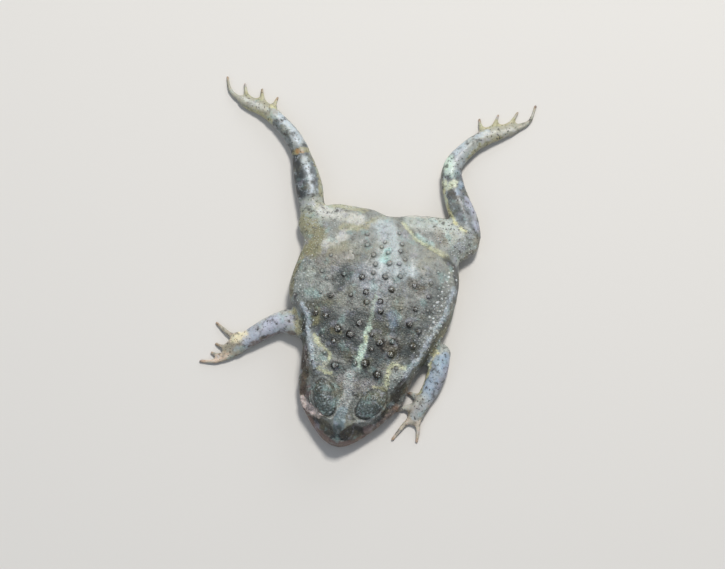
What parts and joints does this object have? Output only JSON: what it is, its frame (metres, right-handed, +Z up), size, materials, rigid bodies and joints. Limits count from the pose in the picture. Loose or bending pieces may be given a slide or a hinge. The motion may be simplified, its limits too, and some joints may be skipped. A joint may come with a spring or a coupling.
{
  "type": "common toad",
  "caption": "Still life-size toad lying flat on its belly, warty back, heavy lids and neck glands, arms and hind legs spread out on the floor.",
  "frame": {"origin": "the middle of the toad's footprint, on the floor that its belly rests on", "axes": "-Y towards the snout, +Y towards the hind feet, +X the toad's own left side, +Z up"},
  "size_m": [0.1002, 0.1236, 0.0169],
  "materials": {
    "head_skin": "dark slate-green wet skin",
    "throat_skin": "pale throat skin",
    "back_skin": "mottled grey warty skin with a wet gloss",
    "thigh_skin": "olive-grey skin",
    "limb_skin": "blue-grey speckled skin",
    "digit_skin": "cream skin with brown tips",
    "eye": "dark wet eye"
  },
  "bodies": {
    "root": {"head": "head_skin", "lower_jaw": "throat_skin", "trunk": "back_skin", "upper_arm_left": "limb_skin", "upper_arm_right": "limb_skin", "forearm_left": "limb_skin", "forearm_right": "limb_skin", "hand_left": "digit_skin", "hand_right": "digit_skin", "thigh_left": "thigh_skin", "thigh_right": "thigh_skin", "shank_left": "limb_skin", "shank_right": "limb_skin", "tarsus_left": "limb_skin", "tarsus_right": "limb_skin", "foot_left": "digit_skin", "foot_right": "digit_skin", "eye_left": "eye", "eye_right": "eye"}
  },
  "joints": []
}
